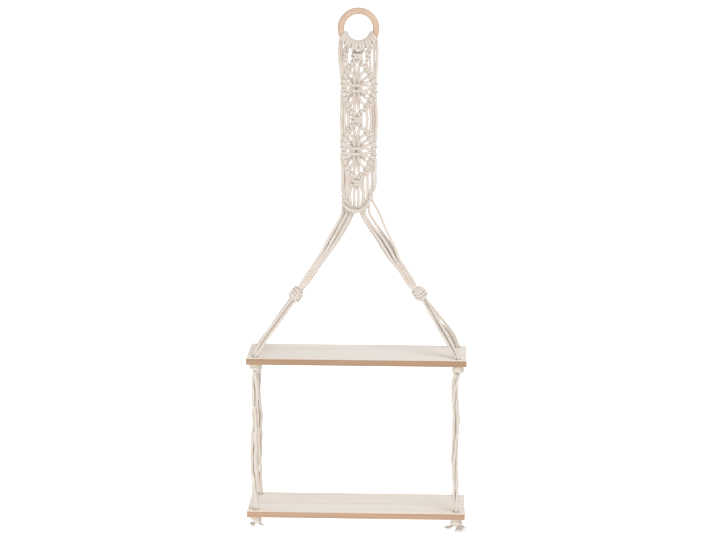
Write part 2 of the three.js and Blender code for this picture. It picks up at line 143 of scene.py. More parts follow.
def objectPlace(start):
    return start.node("ShaderNodeTexCoord", output="Object")


def stretchedNoise(start, vector, scale, detail=2.0, turn=(0, 0, 0)):
    place = start.node("ShaderNodeMapping", inputs={"Vector": vector, "Scale": scale, "Rotation": turn})
    return start.node("ShaderNodeTexNoise", inputs={"Vector": place, "Scale": 1.0, "Detail": detail})


def feed(start, shader, colour, height, strength, distance):
    start.tree.links.new(colour.socket, shader.inputs["Base Color"])
    bump = start.node("ShaderNodeBump", inputs={"Height": height, "Strength": strength, "Distance": distance})
    start.tree.links.new(bump.socket, shader.inputs["Normal"])


# ---- materials ----
cotton = {
    "light": "E6DDD4",
    "warm": "E4D5C8",
    # painted shade for the grooves between the plies, and the darker tone of the fibres
    "shade": "B9ABA0",
    "plies": 3,
    "plyDepth": 0.16,  # of the grooves, as a share of the radius
    "grooveShade": 0.55,
    "fibreShade": 0.35,
    "fibres": (9, 46, 1),  # along and around a cord
    "patches": (55, 55, 55),
    "roughness": 0.95,
    "sheen": 0.25,
    "relief": 0.45,
}
# a wood turns from light to dark where the noise of its bands rises above darkFrom; bands and grain are noise scales
edgeWood = {"darkFrom": 0.36, "contrast": 2.2, "bands": (5, 90, 260), "grain": (26, 900, 1500), "roughness": 0.6,
            "relief": 0.2}
woods = {
    "whitewash": {"light": "F5EEE5", "dark": "ECDDCD", "darkFrom": 0.42, "contrast": 2.8, "bands": (3.2, 46, 46),
                  "grain": (16, 620, 620), "roughness": 0.62, "relief": 0.12},
    "upperBoardEdge": edgeWood | {"light": "AE8D71", "dark": "95745A"},
    "lowerBoardEdge": edgeWood | {"light": "BE9D84", "dark": "A9866C"},
    # the bevels' pale colour is a painted highlight along the rounded edges; its grain is the wood's own tone
    "paleArris": {"light": "F6E9DA", "dark": "EDD6BC", "grain": (20, 300, 300), "roughness": 0.6, "relief": 0.1},
    "lightBeech": {"light": "DABFA9", "dark": "C8A78C", "darkFrom": 0.35, "contrast": 2.0, "bands": (26, 160, 120),
                   "grain": (190, 1500, 900), "roughness": 0.5, "relief": 0.1, "turn": (0, 0.5, 0),
                   "fleck": "A07E63", "fleckFrom": 0.6, "fleckContrast": 5, "fleckShare": 0.35},
}


def cottonMaterial():
    material, shader, start = newMaterial("twistedCotton", cotton["roughness"], cotton["sheen"])
    along = start.node("ShaderNodeUVMap", {"uv_map": "UVMap"})
    around = start.node("ShaderNodeSeparateXYZ", inputs={0: along}, output="Y")
    # 0 in the grooves between the plies, where the shade colour is painted in as painted shade
    crest = start.math("ABSOLUTE", start.math("COSINE", around * (cotton["plies"] * math.pi)))
    fibres = stretchedNoise(start, along, cotton["fibres"], 3.0)
    patches = stretchedNoise(start, objectPlace(start), cotton["patches"])
    warmth = ((patches - 0.42) * 2.4).clamped()
    # painted shade in the grooves between the plies, plus the fibres' own uneven tone
    groove = ((1 - crest) ** 2 * cotton["grooveShade"] + (fibres - 0.35) * cotton["fibreShade"]).clamped()
    colour = groove.mixed(warmth.mixed(tone(cotton["light"]), tone(cotton["warm"])), tone(cotton["shade"]))
    feed(start, shader, colour, fibres, cotton["relief"], 0.0005)
    return material


def bandedMaterial(name):
    look = woods[name]
    material, shader, start = newMaterial(name, look["roughness"])
    here = objectPlace(start)
    bands = stretchedNoise(start, here, look["bands"], 3.0)
    grain = stretchedNoise(start, here, look["grain"])
    share = ((bands - look["darkFrom"]) * look["contrast"] + (grain - 0.5) * 0.6).clamped()
    feed(start, shader, share.mixed(tone(look["light"]), tone(look["dark"])), grain, look["relief"], 0.0003)
    return material


def arrisMaterial():
    # pale bevels: a painted highlight along the edges, with the wood's grain
    look = woods["paleArris"]
    material, shader, start = newMaterial("paleArris", look["roughness"])
    grain = stretchedNoise(start, objectPlace(start), look["grain"])
    feed(start, shader, grain.mixed(tone(look["light"]), tone(look["dark"])), grain, look["relief"], 0.0002)
    return material


def beechMaterial():
    look = woods["lightBeech"]
    material, shader, start = newMaterial("lightBeech", look["roughness"])
    here = objectPlace(start)
    bands = stretchedNoise(start, here, look["bands"], 3.0, look["turn"])
    grain = stretchedNoise(start, here, look["grain"], turn=look["turn"])
    share = ((bands - look["darkFrom"]) * look["contrast"]).clamped()
    flecks = ((grain - look["fleckFrom"]) * look["fleckContrast"]).clamped() * look["fleckShare"]
    colour = flecks.mixed(share.mixed(tone(look["light"]), tone(look["dark"])), tone(look["fleck"]))
    feed(start, shader, colour, grain, look["relief"], 0.0002)
    return material


cottonLook = cottonMaterial()
whitewash, paleArris, beech = bandedMaterial("whitewash"), arrisMaterial(), beechMaterial()
upperEdge, lowerEdge = bandedMaterial("upperBoardEdge"), bandedMaterial("lowerBoardEdge")
for name, item in nodes.items():
    item.data.materials.clear()
    item.data.materials.append(beech if name == "hanging_ring" else whitewash if "board" in name else cottonLook)
print("materials made")


# ---- cords ----
cord = {
    "radius": 2.5,
    "looseness": 1.12,  # how much wider a cord is drawn than it is declared
    "sectionPoints": 18,
    "samples": 10,  # of a curve between two controls
    "step": 1.5,  # between two points of a path
    "lay": 17.0,  # length of one twist
    "bundle": 3,  # strands in a stay, a drop or a tail
    "yarnRadius": 0.42,
    "yarnSectionPoints": 5,
    "yarnStep": 2.2,
    "yarnLay": 60,
}
winding = {
    "pointsPerTurn": 10,
    "rowPhase": 0.35,  # how much further on each row begins, in radians
    "climb": 0.6,  # how far a turn rises, as a share of the rows' spacing
}


def sectionCurve(name, radius, count, depth):
    # a round section with a groove between each two plies
    curve = bpy.data.curves.new(name, "CURVE")
    curve.dimensions = "2D"
    spline = curve.splines.new("POLY")
    spline.points.add(count - 1)
    for i, point in enumerate(spline.points):
        angle = -2 * math.pi * i / count
        size = radius * mm * (1 - depth * (1 - abs(math.cos(cotton["plies"] / 2 * angle))))
        point.co = (size * math.cos(angle), size * math.sin(angle), 0, 1)
    spline.use_cyclic_u = True
    return placed(name, curve)


plySection = sectionCurve("plySection", cord["radius"] * cord["looseness"], cord["sectionPoints"], cotton["plyDepth"])
yarnSection = sectionCurve("yarnSection", cord["yarnRadius"], cord["yarnSectionPoints"], 0)


def smoothPath(controls, sizes=None, step=cord["step"]):
    # a centripetal curve through the points, then points at even steps along it, each with its place in the controls
    # and, as a fourth column, its share of the full radius
    points = np.array([tuple(p) for p in controls], float)
    ends = np.vstack([2 * points[0] - points[1], points, 2 * points[-1] - points[-2]])
    gaps = np.maximum(np.linalg.norm(np.diff(ends, axis=0), axis=1), 1e-6) ** 0.5
    share = np.linspace(0, 1, cord["samples"], endpoint=False)
    dense, place = [], []
    for i in range(len(points) - 1):
        p0, p1, p2, p3 = ends[i:i + 4]
        t1, t2, t3 = np.cumsum(gaps[i:i + 3])
        t = (t1 + (t2 - t1) * share)[:, None]
        a1, a2 = p0 + (p1 - p0) * t / t1, p1 + (p2 - p1) * (t - t1) / (t2 - t1)
        a3 = p2 + (p3 - p2) * (t - t2) / (t3 - t2)
        b1, b2 = a1 + (a2 - a1) * t / t2, a2 + (a3 - a2) * (t - t1) / (t3 - t1)
        dense.append(b1 + (b2 - b1) * (t - t1) / (t2 - t1))
        place.append(i + share)
    dense, place = np.vstack(dense + [points[-1:]]), np.append(np.concatenate(place), len(points) - 1)
    lengths = np.append(0, np.cumsum(np.linalg.norm(np.diff(dense, axis=0), axis=1)))
    even = np.linspace(0, lengths[-1], max(3, round(lengths[-1] / step) + 1))
    even, place = [np.interp(even, lengths, dense[:, k]) for k in range(3)], np.interp(even, lengths, place)
    size = np.interp(place, np.arange(len(points)), sizes) if sizes is not None else np.ones(len(place))
    return np.column_stack(even + [size]), place


def smoothed(controls, step=cord["step"]):
    return smoothPath(controls, step=step)[0]


def pathLength(path):
    return float(np.linalg.norm(np.diff(path[:, :3], axis=0), axis=1).sum())


def newPiece(name, mesh, material):
    item = placed(name, mesh)
    if material:
        mesh.materials.append(material)
    return item


def meshOf(shape, name):
    mesh = bpy.data.meshes.new(name)
    shape.to_mesh(mesh)
    shape.free()
    return mesh


def cordMesh(name, paths, section=plySection, lay=cord["lay"]):
    # one mesh of closed, twisted cords along paths in millimetres
    whole = bmesh.new()
    for path in paths:
        curve = bpy.data.curves.new("strand", "CURVE")
        curve.dimensions = "3D"
        curve.bevel_mode = "OBJECT"
        curve.bevel_object = section
        curve.use_fill_caps = True
        spline = curve.splines.new("POLY")
        spline.points.add(len(path) - 1)
        spline.points.foreach_set("co", np.column_stack([path[:, :3] * mm, np.ones(len(path))]).ravel())
        spline.points.foreach_set("radius", path[:, 3])
        length = pathLength(path)
        spline.points.foreach_set("tilt", np.linspace(0, length / lay * 2 * math.pi, len(path)))
        strand = placed("strand", curve)
        mesh = bpy.data.meshes.new_from_object(strand.evaluated_get(bpy.context.evaluated_depsgraph_get()))
        # along the cord, the texture's unit is the cord's girth
        uv = np.zeros(len(mesh.loops) * 2)
        mesh.uv_layers[0].data.foreach_get("uv", uv)
        uv[0::2] *= length / (2 * math.pi * cord["radius"])
        mesh.uv_layers[0].data.foreach_set("uv", uv)
        whole.from_mesh(mesh)
        bpy.data.objects.remove(strand)
        bpy.data.curves.remove(curve)
        bpy.data.meshes.remove(mesh)
    bmesh.ops.remove_doubles(whole, verts=whole.verts, dist=1e-7)
    bmesh.ops.recalc_face_normals(whole, faces=whole.faces)
    for face in whole.faces:
        face.smooth = len(face.verts) == 4  # the end caps stay flat
    return newPiece(name, meshOf(whole, name), cottonLook)


def at(x, y, z):
    return Vector((x, y, z))


def declared(path):
    (path[:, :3] * mm).tolist()


def windings(centre, axis, radius, rows, spacing, turns, tilt, phase, sink=0.5):
    # cord turns side by side round an axis, leaning by tilt, with their ends sunk into the knot
    axis = axis.normalized()
    first = axis.cross(at(0, 1, 0)).normalized()
    second = axis.cross(first)
    count = round(turns * winding["pointsPerTurn"])
    found = []
    for row in range(rows):
        points = []
        for i in range(count + 1):
            share = i / count
            angle = phase + row * winding["rowPhase"] + share * turns * 2 * math.pi
            size = radius * (sink if i in (0, count) else 1)
            height = (row - (rows - 1) / 2) * spacing + tilt * math.cos(angle - phase)
            height += (share - 0.5) * spacing * winding["climb"]
            points.append(centre + axis * height + (first * math.cos(angle) + second * math.sin(angle)) * size)
        found.append(smoothed(points))
    return found


def bundled(centres, radii, turns, phase):
    # controls of strands that run side by side round a middle line, with slow turns
    last = len(centres) - 1
    found = []
    for k in range(cord["bundle"]):
        points = []
        for i, (middle, radius) in enumerate(zip(centres, radii)):
            ahead = centres[min(i + 1, last)] - centres[max(i - 1, 0)]
            first = ahead.cross(at(0, 1, 0.01)).normalized()
            second = ahead.cross(first).normalized()
            angle = phase + 2 * math.pi * (k / cord["bundle"] + turns * i / last)
            points.append(middle + (first * math.cos(angle) + second * math.sin(angle)) * radius)
        found.append(points)
    return found


# ---- ring ----
ring = {"middle": 31.5, "section": 6.3, "height": -25.5, "steps": 96, "sectionPoints": 24}


def buildRing():
    quarter = Matrix.Rotation(math.radians(90), 3, "X")
    shape = bmesh.new()
    bmesh.ops.create_circle(shape, segments=ring["sectionPoints"], radius=ring["section"] * mm)
    bmesh.ops.translate(shape, verts=shape.verts, vec=(ring["middle"] * mm, 0, 0))
    bmesh.ops.rotate(shape, verts=shape.verts, matrix=quarter)
    bmesh.ops.spin(shape, geom=shape.verts[:] + shape.edges[:], cent=(0, 0, 0), axis=(0, 0, 1),
                   angle=2 * math.pi, steps=ring["steps"], use_merge=True)
    bmesh.ops.rotate(shape, verts=shape.verts, matrix=quarter)
    bmesh.ops.translate(shape, verts=shape.verts, vec=(0, 0, ring["height"] * mm))
    bmesh.ops.remove_doubles(shape, verts=shape.verts, dist=1e-6)
    bmesh.ops.recalc_face_normals(shape, faces=shape.faces)
    for face in shape.faces:
        face.smooth = True
    item = newPiece("turnedRing", meshOf(shape, "turnedRing"), beech)
    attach(item, "ring")
    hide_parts("hanging_ring")


buildRing()
print("ring made")


# ---- knotted band ----
# x runs outwards from the band's middle; the outermost strand of a side is 0 and its leading cord is 5
band = {
    "firstRow": -75.0,
    "apexes": {"upper_diamond": -84.4, "lower_diamond": -198.5},
    "halfWidth": {"left": 28.0, "right": 32.5},
    "height": 95.5,
    "bulges": {"left": 8.0, "right": 7.0},  # how far a border bows outwards
    "lean": -3.0,  # how far the band's middle lies to the left
    "leanReach": 36,  # how far from the middle the lean has faded out
    "below": {"upper_diamond": ("mid", -189.2), "lower_diamond": ("low", -304.3)},  # the small knot under a diamond
    "gather": -353.3,
    "leadX": 2.3,  # how far the leading cords lie from the middle in a knot
    "outerX": (34.2, 29.0),
    "outerY": (-1.6, 1.6),
    "outerHeights": (-96, -78, -64),  # where the outermost cords pass the first row
    "pairX": {"left": 21.3, "right": 19.6},
    "pairTurn": 3.0,
    "pairDepth": 2.6,
    "knotX": (6.9, 2.1),
    "floatX": {"mid": {"left": (29.6, 26.4, 23.2, 15.2), "right": (34.2, 29.6, 25.0, 18.6)},
               "low": {"left": (27.2, 22.9, 18.6, 14.3), "right": (32.6, 27.0, 20.0, 12.6)}},
    "floatY": (-1.5, 2.2, -1.4, 0.6),
    "lastX": {"left": 27.6, "right": 29.5},  # of the outermost strand above the gather
    "hitchShares": (0.87, 0.71, 0.53, 0.34, 0.09),  # where the hitches lie on a border
    # how far the fanned strands still touch, outwards and up from the middle knot
    "fan": {"left": ((20.5, 3.4), (20.0, 11.5), (16.4, 20.0), (9.8, 28.5), (3.5, 33.0)),
            "right": ((19.5, 3.6), (19.2, 10.8), (15.6, 18.2), (9.8, 27.0), (3.5, 33.0))},
    # the cords inside a diamond's middle knot: the first one's x and reach, and what each next one adds
    "fillers": {"x": 7.9, "xStep": -2.1, "reach": 5.5, "reachStep": 1.7, "depth": 2.0, "forward": 2.2},
    "wrapRadius": 3.2,
    "wrapPitch": 5.9,
    "wrapTurns": 1.5,
    "wrapPoints": 12,
    "knotSizes": {"top": (7.4, 4.8, 5.2), "small": (7.4, 5.2, 5.2), "centre": (8.8, 9.6, 6.8)},  # width, height, depth
    # share of the full radius where a cord is pulled tight or lies loose
    "pressed": {"border": 1.0, "hitches": 0.92, "centre_knot": 1.0, "knot": 1.04, "side_cords": 1.08},
    "gathered": 0.95,
    "fanned": {"left": 1.34, "right": 1.2},
    "fannedInner": 1.18,
    "widened": {"left": 2.6, "right": 0.4},  # how far the hitches reach further in
}
# the upper half of a square knot as shares of its width, depth and height: first the cord that crosses in front, then
# the one that crosses behind, each with a bump at the far side
knotHalves = {
    "tight": (
        ((1, -0.2, 1.1), (0.55, -1, 0.55), (0, -1.15, 0.5), (-0.55, -1, 0.45), (-1, -0.1, 0.25), (-0.95, 0.35, 0)),
        ((1.1, -0.4, 1.1), (1.2, -0.5, 0.6), (1.02, 0.6, 0.42), (0.5, 1.1, 0.3), (-0.5, 1.1, 0.25), (-1.0, 0.5, 0.2),
         (-1.22, -0.45, 0)),
    ),
    # two long level bars
    "wide": (
        ((1.08, -0.55, 0.5), (0.8, -1.05, 0.5), (0, -1.1, 0.5), (-0.8, -1.02, 0.5), (-1.12, -0.2, 0.42),
         (-0.9, 0.75, 0.2), (-0.8, 0.85, 0)),
        ((1.3, -0.1, 0.6), (1.08, 0.8, 0.55), (0.5, 1.1, 0.5), (-0.5, 1.1, 0.5), (-1.0, 0.7, 0.48),
         (-1.28, -0.1, 0.3), (-1.3, -0.4, 0)),
    ),
}
strandParts = {}


def pressed(node):
    return next((share for word, share in band["pressed"].items() if word in node), 1.0)


def leaned(side, x):
    return side * x + band["lean"] * (1 - min(1, abs(x) / band["leanReach"]) ** 2)


def layStrand(side, controls):
    # cuts one strand into the stretches that stand for each node
    points = [at(leaned(side, x), y, z) for x, y, z, *_ in controls]
    path, place = smoothPath(points, [c[4] if len(c) > 4 else pressed(c[3]) for c in controls])
    names = [controls[min(int(p + 1e-6), len(controls) - 2)][3] for p in place]
    start = 0
    for i in range(1, len(path) + 1):
        if i == len(path) or names[i] != names[start]:
            stretch = path[start:min(i + 1, len(path))]
            if len(stretch) > 2:
                strandParts.setdefault(names[start], []).append(stretch)
            start = i


def diamondCorners(apex, sideName):
    # tip, side corner and foot of one half of a diamond
    return (0, apex), (band["halfWidth"][sideName], apex - band["height"] / 2), (0, apex - band["height"])


def borderSpot(start, end, share, bulge):
    # the bow is full at a third of the way from the tip or foot, where 2.6 makes it 1
    start, end = Vector(start), Vector(end)
    across = Vector((start.y - end.y, end.x - start.x)).normalized()
    fromTip = max(0, share if start.x == 0 else 1 - share)
    return start.lerp(end, share) + across * bulge * 2.6 * fromTip ** 0.5 * (1 - fromTip)


def hitched(start, end, share, bulge, node, pitch=band["wrapPitch"], inward=0.0):
    # one and a half turns of a strand round the leading cord: two bars show in front
    middle = borderSpot(start, end, share, bulge)
    along = (borderSpot(start, end, share + 0.02, bulge) - borderSpot(start, end, share - 0.02, bulge)).normalized()
    above = Vector((-along.y, along.x))
    if above.y < 0:
        above = -above
    shift = -inward / 2 if start[0] == 0 else inward / 2
    radius, turns, steps = band["wrapRadius"], band["wrapTurns"], band["wrapPoints"]
    found = []
    for i in range(steps + 1):
        angle = 2 * math.pi * turns * i / steps
        spot = middle + along * (angle / (2 * math.pi) - turns / 2) * pitch
        spot += above * ((radius + inward / 2) * math.cos(angle) + shift)
        found.append((spot.x, -radius * math.sin(angle), spot.y, node))
    return found


def squareKnot(z, kind, first, node):
    # one working cord of a square knot, its lower half the upper one mirrored
    width, height, depth = band["knotSizes"][kind]
    half = knotHalves["wide" if kind == "centre" else "tight"][0 if first else 1]
    shares = list(half) + [(x, y, -h) for x, y, h in reversed(half[:-1])]
    return [(x * width, y * depth, z + h * height, node) for x, y, h in shares]


def diamondRoute(name, apex, sideName, j):
    # a working strand's way through one diamond: border, middle knot, border
    tip, corner, foot = diamondCorners(apex, sideName)
    middle = corner[1]
    border, knot = f"{name}_{sideName}_border", f"{name}_centre_knot"
    share, bulge, inward = band["hitchShares"][j], band["bulges"][sideName], band["widened"][sideName]
    loose = band["fanned"][sideName] if j < 3 else band["fannedInner"]
    upper = hitched(tip, corner, share, bulge, border, inward=inward)
    lower = hitched(corner, foot, 1 - share, bulge, border, inward=inward)
    upper[-1] = upper[-1][:3] + (knot, loose)
    if j == 0:
        tied = squareKnot(middle, "centre", sideName == "left", knot)
    else:
        fill, size = band["fillers"], band["gathered"]
        x, reach = fill["x"] + (j - 1) * fill["xStep"], fill["reach"] + fill["reachStep"] * (j - 1)
        y = -fill["depth"] if j % 2 else fill["depth"]
        tied = [(x, y, middle + reach, knot, size), (x, y - fill["forward"], middle, knot, size),
                (x, y, middle - reach, knot, size)]
    x, rise = band["fan"][sideName][j]
    before = [(x, tied[0][1] * 0.7, middle + rise, knot, loose)]
    after = [(x, tied[-1][1] * 0.7, middle - rise, knot, loose)]
    if j == 4:  # the innermost strand keeps clear of the leading cords at the tip and the foot
        before.insert(0, (4.0, 0.8, apex - 9.5, knot, 1.1))
        after.append((4.0, 0.8, foot[1] + 9.5, knot, 1.1))
    return upper + before + tied + after + lower


def fromGather(points):
    # points with heights that count from the gather
    return [(x, y, band["gather"] + height, node) for x, y, height, node in points]


def gatherHitch(j, node):
    start, end = (27, band["gather"] + 31), (10.5, band["gather"])
    return hitched(start, end, 0.2 + 0.3 * (j - 1), 1.5, node, pitch=5.0)


def workingStrand(sideName, side, j):
    first = sideName == "left"
    row, hitches = band["firstRow"], f"gather_hitches_{sideName}"
    route = []
    if j == 4:
        route += squareKnot(row, "top", first, "top_knot_centre")
    elif j > 1:
        # the two strands turn once round each other
        steps = 8
        for i in range(steps + 1):
            angle = i / steps * 2 * math.pi + (0 if j == 2 else math.pi)
            x = band["pairX"][sideName] + band["pairTurn"] * math.cos(angle)
            y = -band["pairDepth"] * math.sin(angle) * (1 if first else -1)
            route.append((x, y, row + 7 - i * 2.0, f"top_knot_{sideName}"))
    for name, apex in band["apexes"].items():
        route += diamondRoute(name, apex, sideName, j)
        level, z = band["below"][name]
        node = f"{level}_knot" if j == 4 else f"{level}_side_cords_{sideName}"
        route[-1] = route[-1][:3] + (node,)
        if j == 4:
            route += squareKnot(z, "small", first, node)
            continue
        x, y = band["floatX"][level][sideName][j], band["floatY"][j]
        if level == "mid":
            reach = 16 - 3.5 * j
            route += [(x * 0.97, y, z + reach, node), (x, y, z, node), (x * 0.97, y, z - reach, node)]
        else:
            route += [(x * 0.98, y, -280 - 5 * j, node), (x - 0.5, y, -307 - 2 * j, node)]
    if j == 0:
        route += fromGather(((band["lastX"][sideName], -0.5, 36, hitches), (26.5, 0, 30, hitches),
                             (19.0, 0, 14, hitches), (11.5, 0, 1, "gather_knot"), (7.0, 0, -5, "gather_knot")))
    elif j < 4:
        route += gatherHitch(j, hitches)
    else:
        route += fromGather(((11.6, -0.5, 30, "low_knot"), (10.2, -1.0, 12, "gather_knot"),
                             (7.0, -1.0, -4, "gather_knot")))
    layStrand(side, route)


def leadingStrand(sideName, side):
    x, row = -band["leadX"], band["firstRow"]
    cross = x if sideName == "left" else -x  # in front of the other leading cord, or behind it
    route = [(x, 0, row + 5, "top_knot_centre"), (x, 0, row - 5, "top_knot_centre")]
    for name, apex in band["apexes"].items():
        border = f"{name}_{sideName}_border"
        tip, corner, foot = diamondCorners(apex, sideName)
        level, z = band["below"][name]
        route.append((0, cross, apex + 0.5, border))
        for start, end, shares in ((tip, corner, (0.2, 0.5, 0.8, 0.97)), (corner, foot, (0.03, 0.2, 0.5, 0.8))):
            for share in shares:
                spot = borderSpot(start, end, share, band["bulges"][sideName])
                route.append((spot.x - 0.4, 0, spot.y, border))
        knot = f"{level}_knot"
        route += [(0, cross, foot[1] - 0.5, knot), (x, 0, z + 5, knot), (x, 0, z - 5, knot)]
    route += fromGather(((-3.7, 0, 30, "low_knot"), (-3.6, 1.0, 12, "gather_knot"), (-2.2, 1.0, -4, "gather_knot")))
    layStrand(side, route)


for sideName, side in sides:
    for j in range(5):
        workingStrand(sideName, side, j)
    leadingStrand(sideName, side)

# the lark's heads: twelve bars over the ring, with the fold of each cord behind
heads = {
    "barAngle": 0.2251,
    "wrapRadius": 8.4,
    "foldOut": 9.6,
    "foldBack": 5.4,
    "drag": 0.19,  # share by which the bars' outer ends are pulled down towards the middle
    "pinch": 0.09,  # share by which the two bars of a head close up at their outer ends
    "flattened": 1.2,  # the cord's width in front of the ring, as a share of its full width
    "flatTurns": (40, 180),  # where round the ring it is as wide as that
    "turns": (12, 50, 90, 130, 170, 210, 250, 285),  # degrees from the foot of a bar, forwards round the ring
    "lastTurn": (318, 0.6, 0.3),  # the same, and how far it lies further out and back there
    "hitchAway": 0.6,  # how far outwards the outermost cords leave their first hitch
}


def barPoint(bar, turn, out=0.0, back=0.0):
    turn = math.radians(turn)
    outer = (1 + math.cos(turn)) / 2
    pairMiddle = math.floor(bar / 2) * 2 + 0.5
    spread = bar + (pairMiddle - bar) * heads["pinch"] * 2 * outer
    angle = (spread - 5.5) * heads["barAngle"] * (1 - heads["drag"] * outer)
    outward = at(math.sin(angle), 0, -math.cos(angle))
    middle = at(0, 0, ring["height"]) + outward * ring["middle"]
    size = heads["wrapRadius"]
    return middle + outward * (size * math.cos(turn) + out) + at(0, -size * math.sin(turn) + back, 0)


def headHalf(bar):
    # from the strand below, round the ring and up to the fold behind it
    side, sideName = (-1, "left") if bar < 6 else (1, "right")
    j = bar if bar < 6 else 11 - bar
    foot = barPoint(bar, 0)
    pairX, turn = band["pairX"][sideName], band["pairTurn"]
    x = leaned(side, (band["outerX"] + (pairX + turn, pairX - turn) + band["knotX"])[j])
    if j < 2:
        y, (lowest, middle, highest) = band["outerY"][j], band["outerHeights"]
        tip, corner, _ = diamondCorners(band["apexes"]["upper_diamond"], sideName)
        hitchX, hitchY, hitchZ, _ = hitched(tip, corner, band["hitchShares"][j], band["bulges"][sideName], "")[0]
        hitchX = leaned(side, hitchX)
        awayX = hitchX + side * heads["hitchAway"]
        points = [at(hitchX, hitchY, hitchZ), at(awayX, 0.4, hitchZ + 6), at(x * 0.5 + awayX * 0.5, y * 0.6, lowest),
                  at(x, y, middle), at(x, y, highest), at(x * 0.5 + foot.x * 0.5, y * 0.6, foot.z - 7)]
    else:
        points = [at(x, 0, band["firstRow"] + (5 if j > 3 else 7)),
                  at((x + foot.x) / 2, 0.6, (foot.z - 3 + band["firstRow"] + 7) / 2)]
    sizes = [1.0] * len(points)
    flatFrom, flatTo = heads["flatTurns"]
    for turn in heads["turns"]:
        points.append(barPoint(bar, turn))
        sizes.append(heads["flattened"] if flatFrom < turn < flatTo else 1.0)
    points.append(barPoint(bar, *heads["lastTurn"]))
    return points, sizes + [1.0]


for head in range(6):
    fold = barPoint(head * 2 + 0.5, 0, heads["foldOut"] - heads["wrapRadius"], heads["foldBack"])
    (firstPoints, firstSizes), (lastPoints, lastSizes) = headHalf(head * 2), headHalf(head * 2 + 1)
    path, _ = smoothPath(firstPoints + [fold] + lastPoints[::-1], firstSizes + [1.0] + lastSizes[::-1])
    strandParts.setdefault(f"larks_head_{head + 1}", []).append(path)

# the curved cord in front of the gather and the binding round it
gatherZ = band["gather"]
wrap = ((26.5, -2, 27), (23.5, -6, 21), (18, -8, 11), (11, -9, 3.0), (2, -9.4, -0.8), (-9, -9, -1.4), (-18, -8.2, 2.5),
        (-25, -6, 8), (-28.5, -1.5, 13))
strandParts["gather_wrap_cord"] = [smoothed([at(x, y, gatherZ + height) for x, y, height in wrap])]
binding = {"points": 25, "perTurn": 16, "halfWidth": 11.0, "halfDepth": 5.6, "below": 1.2, "sink": 0.14}
bindingPoints = []
for i in range(binding["points"]):
    angle = math.pi / 2 + i / binding["perTurn"] * 2 * math.pi
    bindingPoints.append(at(binding["halfWidth"] * math.cos(angle), binding["halfDepth"] * math.sin(angle),
                            gatherZ - binding["below"] - i * binding["sink"]))
strandParts["gather_knot"].append(smoothed(bindingPoints))

for name, paths in strandParts.items():
    piece = cordMesh(f"{name}.cord", paths)
    outer = {"larks_head_1": "left", "larks_head_6": "right"}.get(name)
    if outer:
        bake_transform(piece)
        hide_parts(name, f"upper_side_cords_{outer}")
    else:
        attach(piece, "ring" if "larks" in name else "band")
        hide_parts(name)
print("band made:", len(strandParts), "pieces")


# ---- legs ----
# each row is a height and how far out the six strands of a leg lie there, the outermost first
legs = {
    "rowDepths": (-2.4, 2.4, -2.5, 2.5, -2.3, 2.3),
    "knot": {"left": (111.5, -511.0), "right": (113.5, -507.5)},
    "slope": (104.3, -156),  # outwards and up, from the gather to the knot
    "left": ((-360, 28.5, 26.0, 20.5, 16.0, 12.0, 8.8), (-382, 38.9, 36.6, 32.0, 27.0, 22.4, 18.0),
             (-410, 54.6, 52.2, 46.0, 42.3, 38.2, 35.0), (-429, 64.0, 61.3, 57.3, 54.0, 50.9, 48.3),
             (-447, 75.2, 72.6, 69.6, 66.7, 63.8, 61.2), (-466, 87.6, 85.2, 82.5, 79.8, 77.1, 74.5),
             (-485, 99.8, 97.3, 94.6, 91.9, 89.2, 86.7), (-498, 107.2, 105.2, 103.3, 101.3, 99.3, 97.4)),
    "right": ((-360, 38.9, 21.0, 12.8, 10.0, 7.4, 5.0), (-382, 47.8, 34.4, 26.0, 22.8, 19.7, 16.9),
              (-404, 58.2, 50.0, 44.6, 40.4, 36.0, 31.8), (-425, 68.4, 63.2, 58.3, 53.5, 48.9, 44.3),
              (-446, 76.8, 73.4, 69.8, 66.0, 62.2, 58.7), (-464, 88.9, 86.0, 83.1, 80.1, 77.2, 74.4),
              (-483, 100.9, 98.1, 95.2, 92.3, 89.4, 86.7), (-497, 107.5, 105.4, 103.3, 101.2, 99.1, 97.0)),
}


def legKnot(sideName, side):
    x, z = legs["knot"][sideName]
    return at(side * x, 0, z)


for sideName, side in sides:
    knot = legKnot(sideName, side)
    down = at(side * legs["slope"][0], 0, legs["slope"][1]).normalized()
    outward = at(side * -down.z, 0, side * down.x).normalized()
    for k, y in enumerate(legs["rowDepths"]):
        if k < 3:  # the strands that are hitched at the gather, and those that come out of its knot
            startX, startY, startZ, _ = gatherHitch(k + 1, "")[-1]
        else:
            startX, startY, startZ = 11.5 - 2.2 * (k - 2), y * 0.4, gatherZ + 1
        controls = [at(leaned(side, startX), startY, startZ)]
        for row, (height, *outs) in enumerate(legs[sideName]):
            controls.append(at(side * outs[k], y * (0.7 if row == 0 else 1), height))
        controls.append(knot - down * 3 + outward * (2.5 - k) * 1.2 + at(0, y * 0.7, 0))
        path = smoothed(controls)
        piece = cordMesh(f"leg_strand_{sideName}_{k + 1}", [path])
        declared(path)
        if k < 3:
            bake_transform(piece)
        else:
            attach(piece, "legs")
        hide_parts(f"leg_{sideName}_front" if y < 0 else f"leg_{sideName}_back")
    # the overhand knot that ends the leg
    paths = windings(knot, at(side * 0.75, 0, -1), radius=10.0, rows=3, spacing=5.8, turns=1.2, tilt=2.6,
                     phase=0.6 + side * 0.5)
    paths += windings(knot + at(side * 1.5, -1.0, 1.0), at(side * 0.8, 0.3, 0.75), radius=10.6, rows=3, spacing=4.8,
                      turns=0.8, tilt=1.8, phase=2.4)
    paths += windings(knot, down, radius=4.2, rows=4, spacing=4.8, turns=1.0, tilt=0, phase=0, sink=0.6)
    piece = cordMesh(f"side_knot_{sideName}.cord", paths)
    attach(piece, "legs")
    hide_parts(f"side_knot_{sideName}")
print("legs made")


